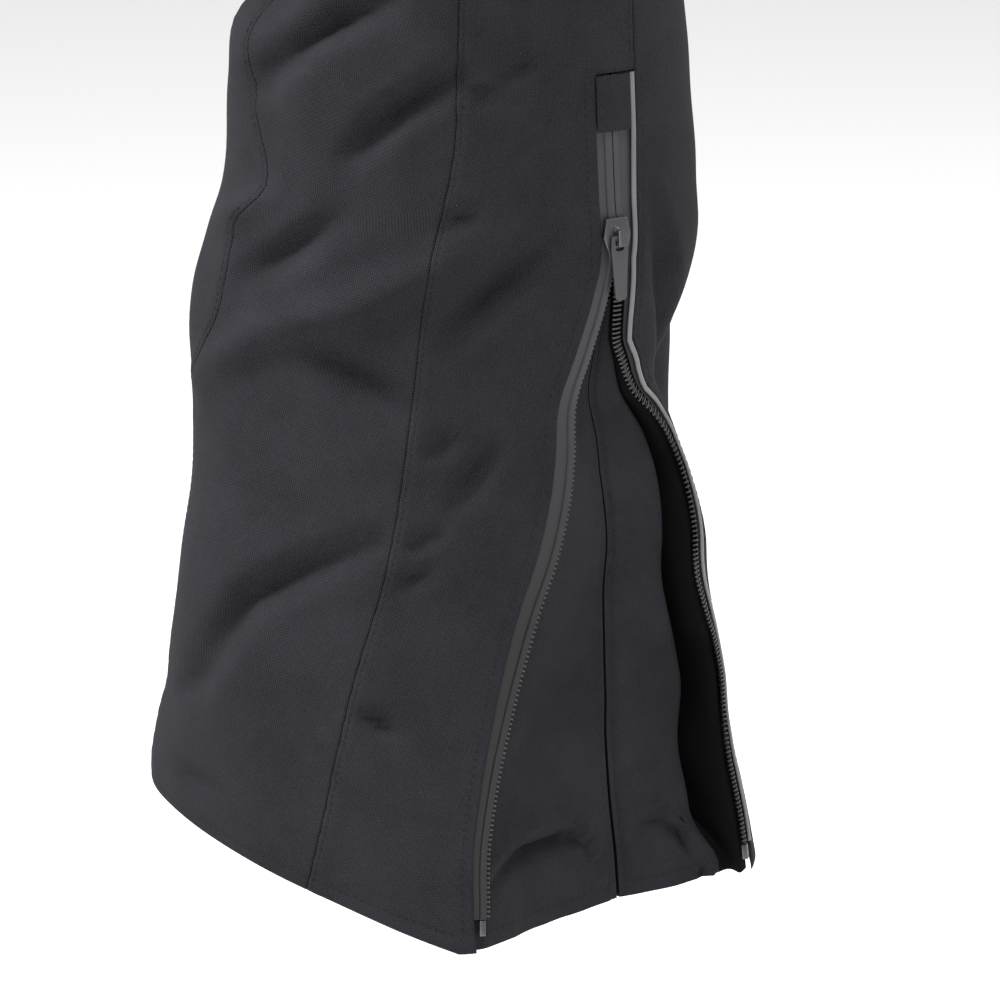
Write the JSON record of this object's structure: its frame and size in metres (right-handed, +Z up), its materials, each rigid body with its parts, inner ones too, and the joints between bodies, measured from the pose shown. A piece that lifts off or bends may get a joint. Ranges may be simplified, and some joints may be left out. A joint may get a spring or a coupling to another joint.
{
  "type": "chainsaw chaps",
  "caption": "Full-wrap chainsaw chaps: padded trouser legs open at the seat, hung from a webbing belt with a cam buckle; one ankle zip stands open over a folded gusset.",
  "frame": {"origin": "middle of the waist, at the belt's mid height", "axes": "+Z up, +X towards the wearer's left, +Y towards the wearer's back"},
  "size_m": [0.3604, 0.2634, 1.0051],
  "materials": {
    "outer_cloth": "charcoal softshell twill, matt",
    "gusset_cloth": "plain-weave nylon, faint sheen",
    "lining": "black warp-knit mesh",
    "cut_resistant_pad": "layered loose-knit cut-resistant fibre",
    "webbing": "black woven nylon webbing and tape",
    "zip_tape": "polyurethane-laminated zip tape, satin grey",
    "zip_teeth": "black moulded coil",
    "piping": "coated light grey piping",
    "slider_metal": "gunmetal enamel worn bright on the edges",
    "pull_tab": "moulded dark grey tab",
    "buckle_metal": "black-coated steel"
  },
  "bodies": {
    "garment": {"left_back_panel": "outer_cloth", "left_inner_panel": "outer_cloth", "left_front_panel": "outer_cloth", "left_side_panel": "outer_cloth", "left_cut_resistant_pad": "cut_resistant_pad", "left_lining": "lining", "left_hem_facing": "outer_cloth", "left_top_binding": "webbing", "left_zip_front_tape": "zip_tape", "left_zip_back_tape": "zip_tape", "left_zip_front_teeth": "zip_teeth", "left_zip_back_teeth": "zip_teeth", "left_zip_front_stop": "slider_metal", "left_zip_back_stop": "slider_metal", "left_zip_piping": "piping", "left_zip_garage": "outer_cloth", "left_gusset_front": "gusset_cloth", "left_gusset_back": "gusset_cloth", "left_belt_loop_front": "webbing", "left_belt_loop_side": "webbing", "left_belt_loop_back": "webbing", "right_back_panel": "outer_cloth", "right_inner_panel": "outer_cloth", "right_front_panel": "outer_cloth", "right_side_panel": "outer_cloth", "right_cut_resistant_pad": "cut_resistant_pad", "right_lining": "lining", "right_hem_facing": "outer_cloth", "right_top_binding": "webbing", "right_zip_front_tape": "zip_tape", "right_zip_back_tape": "zip_tape", "right_zip_front_teeth": "zip_teeth", "right_zip_back_teeth": "zip_teeth", "right_zip_front_stop": "slider_metal", "right_zip_back_stop": "slider_metal", "right_zip_piping": "piping", "right_zip_garage": "outer_cloth", "right_gusset_front": "gusset_cloth", "right_gusset_back": "gusset_cloth", "right_belt_loop_front": "webbing", "right_belt_loop_side": "webbing", "right_belt_loop_back": "webbing", "belt_webbing": "webbing", "belt_keeper": "webbing", "buckle_frame": "buckle_metal"},
    "left_slider": {"left_zip_slider": "slider_metal"},
    "left_puller": {"left_zip_puller": "pull_tab"},
    "right_slider": {"right_zip_slider": "slider_metal"},
    "right_puller": {"right_zip_puller": "pull_tab"},
    "lever": {"buckle_lever": "buckle_metal"}
  },
  "joints": [
    {"name": "left_zip_slide", "type": "slide", "parent": "garment", "child": "left_slider", "axis": [-0.0076, -0.0357, 0.9993], "range_m": [0, 0.034]},
    {"name": "left_puller_hinge", "type": "hinge", "parent": "left_slider", "child": "left_puller", "pos_m": [0.14155, 0.07366, -0.66394], "axis": [0.5034, -0.8636, -0.027], "range_deg": [0, 150]},
    {"name": "right_zip_slide", "type": "slide", "parent": "garment", "child": "right_slider", "axis": [0.0142, 0.0163, 0.9998], "range_m": [0, 0.3]},
    {"name": "right_puller_hinge", "type": "hinge", "parent": "right_slider", "child": "right_puller", "pos_m": [-0.14567, 0.06681, -0.93199], "axis": [0.5369, 0.8434, -0.0213], "range_deg": [0, 150]},
    {"name": "buckle_lever_hinge", "type": "hinge", "parent": "garment", "child": "lever", "pos_m": [-0.004, -0.12405, 0], "axis": [0, 0, -1], "range_deg": [0, 100]}
  ]
}
